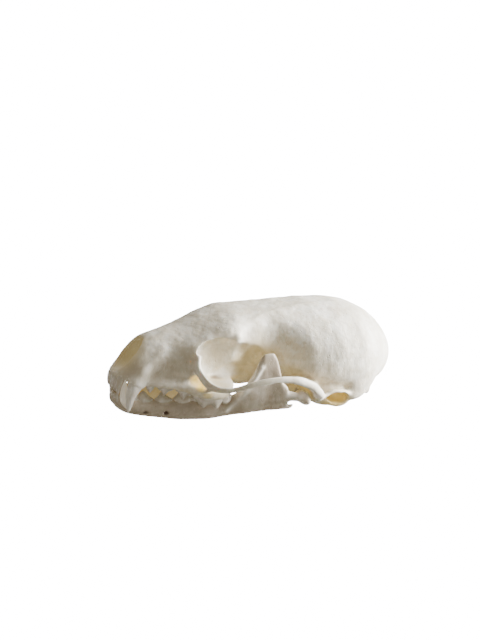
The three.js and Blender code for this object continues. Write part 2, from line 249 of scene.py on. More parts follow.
def twin_lumps(table, around=28):
    """Lumps in pairs, from rows of name, place, radii and turn, given for the right side."""
    lumps = []
    for name, at, radii, (turn_x, turn_y, turn_z) in table:
        for side in SIDES.values():
            turn = (turn_x * side, turn_y, turn_z * side)
            lumps.append(lump(name, on_side(at, side), radii, turn, around))
    return lumps


# ---------------------------------------------------------------- sculpting strokes

def nearest(points, line, steps=60):
    """How far each point is from a smooth line."""
    knots = line_through(line)(np.linspace(0, 1, steps))
    gap = np.full(len(points), np.inf)
    for knot in knots:
        gap = np.minimum(gap, np.linalg.norm(points - knot, axis=1))
    return gap


def radii_away(points, at, radii, side):
    """How far each point is from a place, counted in radii."""
    return np.linalg.norm((points - on_side(at, side)) / np.array(radii), axis=1)


def facing(normals, way, side):
    """How squarely each point faces a direction, from nought to one. No direction gives one."""
    if way is None:
        return 1
    way = on_side(way, side)
    return np.clip(normals @ (way / np.linalg.norm(way)) * 1.6, 0, 1)


def stroke(piece, line, width, height, sides=BOTH, way=None):
    """Raises a soft ridge along a line, or presses a groove where height is below nought."""
    points, normals = points_of(piece), normals_of(piece)
    lift = np.zeros(len(points))
    for side in sides:
        gap = nearest(points, on_side(line, side))
        lift += height * np.exp(-(gap / width) ** 2) * facing(normals, way, side)
    move_points(piece, points + normals * lift[:, None])


def press(piece, at, radii, height, sides=BOTH, way=None):
    """Raises one soft spot, or presses it in where height is below nought."""
    points, normals = points_of(piece), normals_of(piece)
    lift = np.zeros(len(points))
    for side in sides:
        gap = radii_away(points, at, radii, side)
        lift += height * np.exp(-gap ** 2) * facing(normals, way, side)
    move_points(piece, points + normals * lift[:, None])


def weather(piece, grain, depth):
    """Wears the bone down a little in soft patches, grain long and up to depth deep."""
    points, normals = points_of(piece), normals_of(piece)
    wear = np.array([noise.fractal(Vector(point / grain), 1.0, 2.0, 4) for point in points])
    wear = np.clip(0.5 + 0.8 * wear, 0, 1)
    move_points(piece, points - normals * (depth * wear)[:, None])


def soften(piece, at, radii, rounds):
    """Smooths one region of the surface, on both sides alike."""
    points = points_of(piece)
    group = piece.vertex_groups.new(name="soft")
    near = np.minimum(*[radii_away(points, at, radii, side) for side in BOTH])
    for share in (0.3, 0.6, 1.0):
        ring = np.flatnonzero(near < 1.3 - 0.5 * share)
        group.add(ring.tolist(), share, "REPLACE")
    finish_modifier(piece, "SMOOTH", factor=0.5, iterations=rounds, vertex_group="soft")
    piece.vertex_groups.remove(piece.vertex_groups["soft"])


def keep_mask(piece, name, mask):
    field = piece.data.attributes.new(name, "FLOAT", "POINT")
    field.data.foreach_set("value", mask)


def stain(piece, name, spots):
    """Marks soft spots, each a place, its radii and a strength, in a mask on the points."""
    points = points_of(piece)
    mask = np.zeros(len(points))
    for at, radii, strength in spots:
        for side in BOTH:
            gap = radii_away(points, at, radii, side)
            mask = np.maximum(mask, strength * np.exp(-gap ** 4))
    keep_mask(piece, name, mask)


def stain_lines(piece, name, lines, width):
    """Marks thin soft lines, on both sides alike."""
    points = points_of(piece)
    mask = np.zeros(len(points))
    for line in lines:
        for side in BOTH:
            gap = nearest(points, on_side(line, side))
            mask = np.maximum(mask, np.exp(-(gap / width) ** 2))
    keep_mask(piece, name, mask)


def stain_inside(piece, name, strength):
    """Marks the walls that face the middle of the mouth, behind the front teeth, for painted shade
    lit by painted light through thin bone.
    """
    front_teeth, fade = -38.4, 2
    points, normals = points_of(piece), normals_of(piece)
    inward = np.clip(-normals[:, 1] * np.sign(points[:, 1]) * 2.5, 0, 1)
    inward *= np.clip((points[:, 0] - front_teeth) / fade, 0, 1)
    keep_mask(piece, name, strength * inward)


# ---------------------------------------------------------------- cranium

# Soft spots of colour are given for the right side: place, radii, strength.
# Painted shade in the hollows, in ochre, with painted light coming through thin bone.
CRANIUM_LIT_THROUGH_SHADE = [
    ((-2.2, 7.4, 14.8), (6.6, 5.4, 8.8), 0.72),
    ((-13.6, 9.0, 15.0), (7.0, 4.4, 6.0), 0.2),
    ((11.4, 9.0, 5.8), (5.4, 5.0, 4.0), 1.0),
    ((-34.8, 0.0, 17.6), (5.4, 5.2, 5.6), 1.0),
    ((-33.0, 0.0, 19.8), (4.4, 4.2, 3.0), 1.0),
    ((19.8, 14.6, 3.2), (5.0, 4.4, 3.1), 0.6),
    ((20.6, 10.4, 3.6), (9.0, 5.6, 4.6), 0.5),
    ((9.6, 15.4, 6.6), (5.0, 4.4, 3.2), 0.9),
    ((-14.6, 13.6, 10.6), (4.6, 3.4, 1.6), 0.45),
    ((7.0, 12.0, 9.6), (5.0, 5.0, 4.0), 0.5),
    ((-13.4, 12.6, 8.4), (7.0, 3.4, 1.9), 0.3),
    ((-17.4, 14.0, 8.6), (1.7, 2.0, 1.1), 0.9),
    ((-13.0, 9.0, 11.6), (4.0, 2.0, 1.4), 0.6),
    ((-18.0, 0.0, 9.4), (20.0, 11.0, 1.6), 1.0),
]
# Thinnest bone, which the light from behind comes through.
CRANIUM_GLOW = [
    ((-19.9, 11.8, 12.2), (1.8, 2.4, 1.6), 0.8),
    ((-18.7, 12.8, 11.1), (1.8, 2.4, 1.6), 0.95),
    ((9.4, 14.6, 6.8), (3.4, 3.4, 2.4), 0.4),
    ((20.0, 13.8, 3.2), (4.0, 3.6, 2.6), 0.5),
]
# Painted shade in the depths of the openings.
CRANIUM_SHADE = [
    ((-12.6, 8.2, 11.3), (2.6, 1.4, 0.5), 0.8),
    ((-36.0, 0.0, 16.6), (2.6, 3.0, 2.6), 0.5),
    ((9.9, 9.4, 5.3), (0.5, 1.6, 0.9), 1.0),
    ((34.2, 0.0, 8.4), (3.6, 4.8, 3.0), 0.9),
]
# Beige, duller bone: partly its own colour, partly painted shade in the hollows of the face and low
# on the sides.
CRANIUM_TAN = [
    ((-27.0, 9.0, 14.6), (6.0, 4.0, 3.6), 0.5),
    ((-36.0, 5.6, 15.6), (3.4, 3.4, 3.0), 0.8),
    ((-22.5, 11.0, 17.0), (3.4, 3.4, 4.0), 0.5),
    ((13.0, 15.0, 9.0), (8.0, 5.0, 4.6), 0.5),
    ((27.0, 15.0, 7.0), (7.0, 5.0, 3.4), 0.3),
]

# x, top, height of the widest line, underside, half width, squareness above and below
VAULT = [
    (-40.7, 14.2, 12.9, 11.8, 2.4, 2.0, 2.0),
    (-38.5, 16.2, 13.0, 10.9, 5.3, 2.3, 2.3),
    (-35.0, 20.0, 13.4, 10.8, 7.4, 2.3, 2.3),
    (-32.0, 22.5, 13.6, 10.8, 7.8, 2.3, 2.3),
    (-27.0, 23.9, 13.8, 10.6, 8.8, 2.3, 2.3),
    (-22.4, 24.8, 15.0, 10.4, 11.0, 2.2, 2.3),
    (-19.6, 25.5, 16.0, 10.4, 13.5, 2.0, 2.4),
    (-17.4, 26.1, 17.0, 11.0, 13.7, 2.0, 2.4),
    (-14.4, 26.9, 20.0, 11.4, 12.0, 2.4, 2.3),
    (-8.5, 28.1, 22.4, 12.0, 11.9, 2.9, 1.9),
    (-4.0, 28.3, 21.8, 10.6, 10.3, 3.3, 1.7),
    (2.0, 28.3, 20.0, 9.0, 9.9, 3.4, 1.7),
    (8.0, 28.3, 15.0, 6.4, 12.8, 2.9, 2.0),
    (14.0, 28.2, 12.0, 5.2, 16.1, 2.5, 2.3),
    (21.0, 27.8, 11.4, 4.4, 17.2, 2.35, 2.6),
    (28.0, 26.5, 11.0, 3.8, 16.4, 2.35, 2.8),
    (34.0, 23.5, 11.6, 4.6, 13.0, 2.25, 2.6),
    (38.5, 18.8, 12.0, 6.6, 8.4, 2.0, 2.2),
    (40.6, 15.0, 12.4, 10.0, 3.2, 2.0, 2.0),
]

# the same columns for the roof of the mouth with the cheek teeth's sockets
UPPER_JAW = [
    (-37.0, 13.4, 12.6, 11.0, 6.4, 2.6, 2.6),
    (-34.5, 13.2, 12.4, 10.9, 8.2, 3.0, 3.4),
    (-30.0, 13.0, 12.2, 10.6, 8.5, 3.2, 4.4),
    (-25.5, 13.0, 12.0, 10.0, 9.8, 3.2, 4.6),
    (-20.5, 14.0, 10.8, 8.7, 12.3, 3.0, 4.6),
    (-16.0, 12.0, 9.8, 7.7, 14.0, 2.8, 4.4),
    (-12.0, 11.2, 9.4, 7.2, 14.1, 2.6, 3.6),
    (-9.4, 11.0, 9.6, 8.0, 12.6, 2.6, 2.8),
    (-7.9, 11.0, 9.8, 8.5, 9.6, 2.6, 2.6),
]

# and for the bones behind the palate
PTERYGOID = [
    (-15.0, 15.0, 11.5, 9.6, 6.5, 2.8, 2.8),
    (-8.0, 15.0, 11.0, 7.6, 5.9, 3.0, 3.0),
    (-5.0, 15.0, 10.6, 6.2, 5.6, 3.0, 3.0),
    (-2.0, 14.5, 10.0, 6.2, 5.4, 3.0, 3.0),
    (2.0, 13.5, 9.0, 5.2, 5.0, 3.0, 3.0),
    (8.0, 12.0, 8.0, 3.7, 5.0, 3.0, 3.0),
    (13.0, 10.0, 7.0, 3.6, 4.8, 3.0, 3.0),
]


def orbit_rim(side):
    """The raised front edge of the orbit."""
    knots = [
        (-18.9, 11.9, 19.6, 1.2, 1.4),
        (-19.7, 13.0, 18.0, 1.5, 1.6),
        (-19.9, 14.0, 16.6, 1.5, 1.6),
        (-19.3, 15.5, 14.8, 1.5, 1.5),
    ]
    return bar("rim", knots, side, up=(1, 0, 0))


def cheek_arch(side):
    """The slender arch from below the orbit to the ear."""
    knots = [
        (-21.0, 12.2, 16.4, 1.6, 2.8),
        (-20.2, 14.0, 15.5, 1.6, 2.9),
        (-19.2, 15.6, 13.8, 1.5, 3.0),
        (-18.2, 17.0, 12.5, 1.4, 3.0),
        (-17.0, 18.2, 11.9, 1.4, 2.7),
        (-15.4, 19.4, 11.6, 1.5, 2.1),
        (-13.3, 20.6, 11.6, 1.5, 1.8),
        (-10.9, 21.7, 12.2, 1.5, 1.9),
        (-8.0, 22.8, 13.2, 1.5, 2.1),
        (-4.7, 23.7, 14.0, 1.5, 2.1),
        (-0.6, 24.3, 14.4, 1.6, 2.2),
        (4.6, 24.4, 13.5, 1.8, 2.5),
        (9.0, 23.4, 11.2, 2.1, 2.7),
        (11.7, 21.8, 8.6, 2.4, 2.7),
        (13.2, 19.8, 6.6, 2.6, 2.6),
        (13.9, 17.4, 5.4, 2.6, 2.6),
    ]
    return bar("arch", knots, side, along=130, square=2.2)


def arch_foot(side):
    """The lower root of the cheek arch, under the tunnel."""
    knots = [
        (-19.6, 11.6, 9.7, 2.4, 1.8),
        (-18.4, 14.0, 9.8, 2.2, 1.7),
        (-17.4, 16.4, 10.9, 1.8, 1.6),
        (-16.4, 18.4, 11.6, 1.4, 1.4),
    ]
    return bar("foot", knots, side, square=2.2)


def orbit_bowl(side):
    """What the eye's hollow takes out of the skull."""
    knots = [
        (-12.4, 7.5, 16.4, 5.0, 6.6),
        (-12.6, 8.4, 16.6, 10.0, 9.8),
        (-13.0, 10.5, 16.9, 13.4, 12.2),
        (-13.2, 13.0, 17.0, 14.2, 12.6),
        (-13.0, 20.0, 17.0, 14.4, 12.6),
        (-13.0, 29.0, 17.0, 14.4, 12.6),
    ]
    return bar("orbit", knots, side, around=48, along=50, square=2.3)


def nuchal_crest(side):
    """The ridge down the back of the skull to the ear."""
    knots = [
        (38.4, -2.0, 18.2, 1.6, 1.6),
        (37.4, 6.2, 15.6, 1.6, 1.6),
        (34.6, 11.2, 11.4, 1.6, 1.8),
        (31.0, 14.4, 8.0, 1.8, 2.2),
        (28.0, 15.8, 5.6, 2.2, 2.6),
        (25.0, 16.4, 4.2, 2.6, 2.8),
        (23.0, 16.2, 4.0, 2.4, 2.4),
    ]
    return bar("crest", knots, side)


def squama_crest(side):
    """The ledge over the ear, which runs back from the jaw joint."""
    knots = [
        (13.6, 17.6, 5.0, 2.0, 1.6),
        (15.6, 17.4, 5.6, 2.0, 1.3),
        (17.8, 17.2, 6.4, 1.9, 1.2),
        (20.4, 17.0, 6.0, 1.9, 1.3),
        (23.4, 16.4, 4.4, 2.0, 2.0),
    ]
    return bar("ledge", knots, side)


def ear_tube(side):
    """The wide, short mouth of the ear's bony bulla."""
    return bar("ear_tube", [(20.8, 10.4, 4.1, 9.0, 7.6), (20.4, 13.6, 3.4, 8.0, 6.2),
                            (19.8, 16.3, 3.8, 6.6, 4.4)], side)


def tooth_ridge(side):
    """Thickened edge of the upper jaw, which the cheek teeth stand in."""
    knots = [
        (-34.2, 7.1, 11.8, 2.0, 2.0),
        (-31.7, 7.6, 11.6, 2.2, 2.2),
        (-27.3, 8.6, 11.1, 2.6, 2.4),
        (-22.3, 10.2, 10.1, 3.0, 2.9),
        (-18.6, 12.2, 8.8, 3.1, 3.2),
        (-14.6, 13.2, 8.2, 3.1, 3.0),
        (-11.2, 13.0, 8.0, 2.6, 2.4),
    ]
    return bar("tooth_ridge", knots, side, square=2.6)


def canine_collar(side):
    """Swelling of the cheek over the root of the upper canine."""
    knots = [
        (-30.6, 6.4, 17.4, 1.6, 2.4),
        (-32.8, 6.9, 15.2, 2.8, 3.8),
        (-34.6, 7.1, 13.0, 3.8, 4.8),
        (-35.6, 7.2, 11.6, 4.0, 5.0),
        (-35.9, 7.2, 11.1, 3.6, 4.6),
    ]
    return bar("collar", knots, side, up=(-1, 0, 0))


def hamulus(side):
    """The thin hook behind the palate."""
    return bar("hamulus", [(8.0, 4.6, 7.6, 1.6, 2.4), (11.6, 4.9, 5.4, 0.9, 1.5),
                           (13.2, 5.2, 4.8, 0.7, 0.8)], side)


def tunnel(side):
    """The short tunnel through the front root of the cheek arch."""
    return bar("tunnel", [(-25.0, 11.6, 12.3, 1.8, 1.8), (-21.6, 12.6, 12.4, 3.0, 3.2),
                          (-18.2, 13.0, 12.5, 3.2, 3.4), (-13.6, 13.6, 14.0, 3.4, 3.6)], side)


def ear_hole(side):
    return bar("ear_hole", [(19.4, 18.2, 4.0, 6.6, 3.8), (19.8, 13.4, 4.4, 5.8, 3.4)], side)


def floor_slit(side):
    """The slit in the floor of the orbit."""
    return bar("floor_slit", [(-14.6, 9.6, 11.9, 0.6, 0.7), (-12.9, 8.6, 11.2, 1.6, 0.8),
                              (-10.6, 8.3, 11.4, 1.2, 0.5)], side)


# Lumps that are added or taken away in pairs: name, place on the right, radii, turn.
TEMPLE_HOLLOWS = [
    ("temple", (-3.2, 15.6, 13.2), (5.6, 9.8, 8.3), (0, 0, 0)),
    ("behind_orbit", (-6.0, 15.2, 16.8), (4.6, 7.2, 5.6), (0, 0, 0)),
]
BASE_LUMPS = [
    ("shelf", (10.8, 15.2, 7.9), (3.8, 6.8, 1.7), (-6, 8, 0)),
    ("lip", (12.9, 16.4, 6.2), (1.1, 4.4, 2.6), (0, 12, 0)),
    ("bulla", (20.2, 10.4, 5.15), (8.7, 5.4, 5.1), (0, 0, -9)),
    ("bulla_front", (11.4, 7.8, 5.6), (3.8, 2.8, 2.2), (0, 0, 0)),
    ("mastoid", (27.0, 13.6, 6.8), (5.0, 2.9, 4.2), (0, -24, -18)),
    ("paroccipital", (29.4, 12.8, 6.4), (1.5, 2.4, 3.9), (0, -6, 0)),
    ("condyle", (35.4, 5.4, 9.8), (2.2, 3.3, 2.8), (0, 20, 20)),
]
JAW_SOCKETS = [("socket", (8.6, 18.0, 6.6), (2.6, 6.4, 2.6), (0, 0, 0))]
SMALL_HOLES = [
    ("lacrimal", (-18.2, 11.3, 17.2), (1.6, 0.5, 0.6), (0, 0, 0)),
    ("incisive", (-36.0, 1.5, 11.2), (1.6, 0.7, 1.4), (0, 0, 0)),
    ("oval", (5.2, 7.0, 9.8), (1.4, 1.2, 0.8), (0, 0, 0)),
]

# lines of the strokes, given for the right side or on the middle
CANINE_ROOT_LINE = [(-33.0, 8.2, 15.2), (-29.4, 7.4, 18.8), (-27.4, 6.4, 20.6)]
TEMPORAL_LINE = [(-8.0, 12.0, 23.6), (-4.0, 9.6, 25.8), (2.0, 6.6, 27.4), (10.0, 4.2, 28.2),
                 (20.0, 2.6, 27.8), (31.0, 1.0, 24.8)]
REAR_CREST_LINE = [(30.0, 0, 25.2), (37.4, 0, 19.6)]


def hollow_orbits_and_nose(skull):
    cutters = both(orbit_bowl) + twin_lumps(TEMPLE_HOLLOWS, around=40)
    cutters += [lump("nose", (-35.9, 0, 18.4), (6.2, 3.7, 3.9), (0, -50, 0), 40, 24)]
    cutters += [lump("palate", (-24.0, 0, 8.8), (17.0, 6.2, 2.7), (0, 3, 0))]
    cutters += [lump("choana", (7.0, 0, 7.0), (13.0, 2.9, 3.0), (0, 6, 0))]
    hollowed(skull, cutters)


def hollow_holes(skull):
    cutters = [lump("foramen_magnum", (40.4, 0, 9.6), (9.0, 5.3, 4.4), (0, -28, 0))]
    cutters += twin_lumps(JAW_SOCKETS)
    cutters += both(tunnel) + both(ear_hole) + both(floor_slit)
    cutters += twin_lumps(SMALL_HOLES)
    hollowed(skull, cutters)


def sculpt_cranium(skull):
    """Strokes over the finished body: roots, hollows of the cheek, lines, crest and wear."""
    soften(skull, at=(-8.0, 8.6, 15.2), radii=(6.0, 4.0, 6.0), rounds=40)
    stroke(skull, CANINE_ROOT_LINE, width=1.5, height=0.45)
    press(skull, at=(-27.0, 9.2, 15.0), radii=(3.0, 3.0, 2.8), height=-0.5)
    press(skull, at=(-37.2, 5.8, 15.6), radii=(1.6, 2.0, 1.8), height=-0.35)
    press(skull, at=(-23.0, 10.4, 18.6), radii=(2.4, 2.4, 2.4), height=-0.25)
    stroke(skull, TEMPORAL_LINE, width=0.9, height=0.12)
    stroke(skull, REAR_CREST_LINE, width=0.6, height=0.3, sides=(1,))
    press(skull, at=(-7.8, 12.3, 23.4), radii=(1.3, 1.3, 0.8), height=0.7)
    weather(skull, grain=4.5, depth=0.22)


def make_cranium():
    skull = joined("cranium", [loft("vault", VAULT, 64, 150), loft("upper_jaw", UPPER_JAW, 40, 70),
                               loft("pterygoid", PTERYGOID, 24, 40)])
    melt(skull, grain=0.5, smooth=6)
    hollow_orbits_and_nose(skull)

    bodies = [skull]
    for make in (orbit_rim, cheek_arch, arch_foot, nuchal_crest, squama_crest, ear_tube,
                 canine_collar, tooth_ridge):
        bodies += both(make)
    bodies += twin_lumps(BASE_LUMPS) + both(hamulus)
    skull = joined("cranium", bodies)
    melt(skull, grain=0.34, smooth=3)
    hollow_holes(skull)
    melt(skull, grain=0.35, smooth=3)

    sculpt_cranium(skull)
    stain(skull, "warm", CRANIUM_LIT_THROUGH_SHADE)
    stain(skull, "glow", CRANIUM_GLOW)
    stain(skull, "shade", CRANIUM_SHADE)
    stain(skull, "tan", CRANIUM_TAN)
    return skull


# ---------------------------------------------------------------- lower jaw

# x, low edge, high edge, y of the foot, y of the head, thickness
JAW = [
    (-40.9, 5.0, 6.8, 1.0, 1.2, 1.6),
    (-39.6, 3.4, 7.0, 1.8, 2.6, 3.0),
    (-37.4, 2.2, 7.0, 3.0, 4.0, 3.9),
    (-34.0, 1.5, 6.7, 4.4, 5.0, 3.7),
    (-29.0, 0.8, 6.3, 6.0, 6.5, 3.3),
    (-23.0, 0.1, 6.1, 7.8, 8.0, 3.3),
    (-17.0, 0.0, 5.9, 9.4, 9.8, 3.2),
    (-11.4, 0.6, 5.7, 10.6, 10.7, 2.8),
    (-9.0, 1.0, 7.6, 11.6, 12.3, 2.3),
    (-6.8, 1.4, 10.6, 13.0, 14.8, 2.1),
    (-4.8, 1.8, 15.0, 14.0, 16.7, 1.8),
    (-3.3, 2.0, 19.2, 14.6, 17.8, 1.6),
    (-2.3, 2.1, 20.1, 15.0, 18.2, 1.5),
    (-0.3, 2.3, 20.1, 15.4, 18.2, 1.4),
    (1.0, 2.6, 18.6, 16.0, 18.0, 1.4),
    (2.1, 2.8, 15.0, 16.3, 17.8, 1.5),
    (3.0, 3.0, 11.2, 16.6, 17.6, 1.6),
    (4.8, 3.4, 9.2, 17.0, 17.4, 1.8),
]


# painted shade in the two holes for the chin's nerves, and the duller stretches, partly the bone's
# own colour and partly painted shade: place, radii, strength
JAW_SHADE = [
    ((-32.9, 6.2, 2.9), (0.85, 2.0, 0.55), 0.6),
    ((-27.5, 7.8, 2.6), (0.85, 2.0, 0.65), 0.95),
]
JAW_TAN = [
    ((-34.0, 6.6, 4.4), (9.0, 4.0, 2.2), 0.25),
    ((-20.0, 9.8, 3.6), (10.0, 4.0, 3.4), 0.65),
    ((-1.0, 18.0, 16.4), (4.4, 3.0, 5.6), 0.9),
    ((-10.0, 12.6, 3.0), (6.0, 4.0, 2.4), 0.2),
]

# the border in front of the hollow on the outside of the jaw, and the top of the neck
JAW_RIDGE = [(-11.6, 11.9, 2.8), (-8.8, 13.6, 5.8), (-6.6, 15.2, 9.4), (-4.6, 17.0, 13.4),
             (-3.4, 18.0, 16.0)]
JAW_NECK_LINE = [(4.2, 18.2, 6.8), (6.4, 18.6, 6.4), (8.7, 20.0, 6.0)]
# a painted highlight just outside the ridge and along the top of the neck
JAW_HIGHLIGHT_LINES = [[(x, y + 0.9, z) for x, y, z in JAW_RIDGE], JAW_NECK_LINE]

# each half of the jaw keeps this far from the middle plane
CHIN_GAP = 0.16


def jaw_plate(side):
    """The body and the upright process of one half of the jaw, as a leaning, rounded plate."""
    roundness = 0.85
    read = [curve_through(JAW, 0, i) for i in range(1, 6)]
    start, end = JAW[0][0], JAW[-1][0]

    def place(t, cos, sin, reach):
        x = start + (end - start) * t
        low, head, foot, lean, thick = (curve(x) for curve in read)
        share = 0.5 + 0.5 * reach * signed_power(sin, roundness)
        middle = foot + (lean - foot) * share
        y = side * (middle + thick / 2 * reach * signed_power(cos, roundness))
        return np.stack([x, y, low + (head - low) * share], 1)

    return wrapped("plate", 36, 140, place)


def make_jaw(label, side):
    bodies = [
        jaw_plate(side),
        bar("neck", [(1.0, 16.6, 6.7, 1.8, 5.2), (4.6, 17.0, 6.6, 2.0, 3.2),
                     (8.2, 17.6, 5.9, 2.4, 2.2)], side),
        lump("knuckle", (8.7, 17.8 * side, 5.9), (1.6, 4.6, 1.6)),
        bar("hook", [(0.0, 15.8, 4.0, 1.8, 3.0), (3.2, 16.5, 3.6, 1.6, 1.8),
                     (5.4, 16.7, 3.4, 1.2, 1.2), (6.1, 16.8, 4.1, 0.9, 0.9)], side),
    ]
    jaw = joined("lower_jaw_bone_" + label, bodies)
    melt(jaw, grain=0.3, smooth=4)
    hollowed(jaw, [
        lump("front_foramen", (-32.9, 6.8 * side, 2.9), (0.6, 1.0, 0.4)),
        lump("rear_foramen", (-27.5, 8.3 * side, 2.6), (0.65, 1.1, 0.5)),
        lump("inner_foramen", (-2.0, 13.6 * side, 6.0), (0.9, 1.2, 0.7)),
    ])
    melt(jaw, grain=0.26, smooth=2)

    own = (side,)
    outward = (0, 1, 0.2)
    press(jaw, at=(-0.8, 17.0, 8.0), radii=(5.4, 5.0, 6.2), height=-0.75, sides=own, way=outward)
    press(jaw, at=(-6.4, 13.6, 4.4), radii=(2.6, 3.0, 2.2), height=-0.35, sides=own,
          way=(0, 1, 0.1))
    stroke(jaw, JAW_RIDGE, width=0.75, height=0.7, sides=own, way=outward)
    # a painted highlight along the ridge and the top of the neck
    stain_lines(jaw, "pale", JAW_HIGHLIGHT_LINES, width=1.0)
    # painted shade on the walls facing the mouth, lit by painted light through the bone
    stain_inside(jaw, "warm", strength=1.0)
    stain(jaw, "shade", JAW_SHADE)
    stain(jaw, "tan", JAW_TAN)

    points = points_of(jaw)
    points[:, 1] = side * np.maximum(points[:, 1] * side, CHIN_GAP)
    points[:, 2] = np.maximum(points[:, 2], 0)
    move_points(jaw, points)
    return jaw


# ---------------------------------------------------------------- teeth

def blade(at, length, width, gum, profile, side, turn, up=False, root=1.6):
    """A tooth along the row, on the given side. The profile gives its height along it."""
    sign = 1 if up else -1
    yaw = math.radians(turn) * side
    crest = curve_through(profile, 0, 1)

    def place(t, cos, sin, reach):
        ends = np.clip(np.sin(math.pi * t), 0, 1)
        half = width / 2 * ends ** 0.45
        crown = sin < 0
        across = half * reach * np.where(crown, signed_power(cos, 1.4), signed_power(cos, 0.8))
        z = np.where(crown, gum + sign * crest(t) * ends ** 0.28 * reach * np.abs(sin) ** 1.2,
                     gum - sign * root * reach * np.abs(sin) ** 0.8)
        along = (t - 0.5) * length
        x = at[0] + along * math.cos(yaw) - across * math.sin(yaw)
        y = side * at[1] + along * math.sin(yaw) + across * math.cos(yaw)
        return np.stack([x, y, z], 1)

    return wrapped("blade", 24, 48, place)


def fang(knots, side):
    """A single-rooted tooth, whose knots run from the root to the tip."""
    return bar("fang", knots, side, around=24, along=40, up=(-1, 0, 0))


# place, length, width, gum height, profile from front to rear, turn along the row
UPPER_BLADES = [
    ((-31.7, 7.5), 2.4, 1.5, 10.6, ((0, 0.6), (0.4, 1.8), (1, 0.6)), 12),
    ((-27.3, 8.3), 5.2, 2.1, 10.4, ((0, 1.2), (0.15, 1.5), (0.35, 2.8), (0.6, 1.6), (0.86, 1.4),
                                    (1, 1.0)), 14),
    ((-22.4, 10.1), 5.8, 2.4, 9.5, ((0, 0.8), (0.14, 1.3), (0.33, 3.1), (0.6, 1.9), (0.84, 1.9),
                                    (1, 1.6)), 22),
    ((-17.0, 12.4), 8.6, 2.7, 8.3, ((0, 1.7), (0.14, 2.5), (0.35, 4.2), (0.52, 3.3), (0.6, 3.3),
                                    (0.8, 4.9), (0.92, 4.3), (1, 2.4)), 18),
]

LOWER_BLADES = [
    ((-35.5, 5.1), 2.4, 1.4, 6.5, ((0, 0.8), (0.5, 2.3), (1, 1.2)), 14),
    ((-32.7, 5.6), 4.8, 2.1, 6.3, ((0, 1.4), (0.36, 2.6), (0.78, 1.0), (1, 0.4)), 16),
    ((-27.9, 6.8), 5.1, 2.3, 6.1, ((0, 0.4), (0.14, 0.9), (0.42, 2.3), (0.74, 1.1), (1, 0.5)), 16),
    ((-22.7, 8.1), 5.8, 2.5, 5.9, ((0, 0.6), (0.12, 1.2), (0.4, 2.6), (0.6, 2.1), (0.72, 2.4),
                                   (0.88, 2.4), (1, 2.4)), 16),
    ((-16.1, 9.7), 9.8, 2.9, 5.8, ((0, 2.8), (0.2, 2.8), (0.32, 2.1), (0.5, 2.9), (0.62, 1.9),
                                   (0.7, 1.0), (0.9, 1.0), (1, 0.7)), 12),
    ((-10.2, 11.3), 2.1, 2.0, 6.3, ((0, 0.5), (0.5, 0.8), (1, 0.5)), 14),
]


def upper_teeth(side):
    """Four cheek teeth, three incisors and the crosswise molar of one side."""
    row = [blade(at, length, width, gum, profile, side, turn)
           for at, length, width, gum, profile, turn in UPPER_BLADES]
    row += [
        fang([(-39.7, 0.85, 13.2, 1.4, 1.4), (-40.25, 0.85, 11.2, 1.4, 1.4),
              (-40.5, 0.85, 9.2, 1.2, 0.8), (-40.4, 0.85, 8.7, 0.8, 0.4)], side),
        fang([(-39.4, 2.35, 13.2, 1.5, 1.5), (-39.9, 2.4, 11.2, 1.5, 1.6),
              (-40.1, 2.4, 9.2, 1.2, 0.9), (-40.0, 2.4, 8.6, 0.8, 0.4)], side),
        fang([(-38.4, 3.9, 13.4, 1.9, 2.2), (-39.2, 4.2, 11.2, 1.9, 2.3),
              (-39.8, 4.3, 9.4, 1.3, 1.4), (-40.0, 4.3, 8.2, 0.4, 0.4)], side),
        lump("carnassial_lobe", (-19.8, 10.4 * side, 8.8), (1.6, 1.5, 2.2)),
        bar("molar", [(-12.3, 13.9, 7.0, 1.6, 2.0), (-12.2, 13.2, 6.8, 3.0, 3.2),
                      (-11.9, 12.2, 6.8, 3.6, 3.2), (-11.4, 10.6, 7.4, 3.0, 2.6),
                      (-10.9, 8.6, 7.9, 4.8, 2.6), (-10.8, 7.0, 8.2, 4.0, 2.0),
                      (-10.8, 6.4, 8.3, 0.8, 0.6)], side),
    ]
    return row


def lower_teeth(side):
    """Six cheek teeth and three incisors of one side."""
    row = [blade(at, length, width, gum, profile, side, turn, up=True)
           for at, length, width, gum, profile, turn in LOWER_BLADES]
    row += [
        fang([(-39.4, 0.75, 4.6, 1.1, 1.4), (-40.0, 0.75, 6.4, 1.1, 1.3),
              (-40.3, 0.75, 8.0, 0.8, 0.5)], side),
        fang([(-39.1, 1.85, 4.6, 1.2, 1.5), (-39.8, 1.95, 6.4, 1.2, 1.4),
              (-40.1, 2.0, 8.1, 0.8, 0.5)], side),
        fang([(-38.8, 2.95, 4.6, 1.2, 1.5), (-39.5, 3.1, 6.4, 1.2, 1.4),
              (-39.9, 3.15, 8.2, 0.8, 0.5)], side),
    ]
    return row


def upper_fang(side):
    return [fang([(-34.6, 7.1, 13.0, 1.8, 2.4), (-35.3, 7.2, 12.0, 2.8, 3.6),
                  (-36.1, 7.3, 11.0, 3.2, 4.0), (-37.1, 7.0, 8.3, 2.5, 2.8),
                  (-37.6, 6.8, 5.6, 1.6, 1.7), (-37.8, 6.6, 3.9, 0.7, 0.8),
                  (-37.8, 6.6, 3.4, 0.2, 0.2)], side)]


def lower_fang(side):
    return [fang([(-36.6, 4.4, 4.6, 2.8, 3.0), (-38.1, 4.9, 6.8, 2.6, 2.9),
                  (-38.5, 5.3, 9.0, 1.9, 2.1), (-38.3, 5.5, 11.2, 1.1, 1.2),
                  (-38.0, 5.6, 12.8, 0.3, 0.3)], side)]


def make_teeth(name, bodies):
    """Crowns melted into one piece, and marked with painted shade and painted light on the walls
    that face the mouth.
    """
    row = joined(name, bodies)
    melt(row, grain=0.15, smooth=2)
    stain_inside(row, "warm", strength=0.9)
    return row


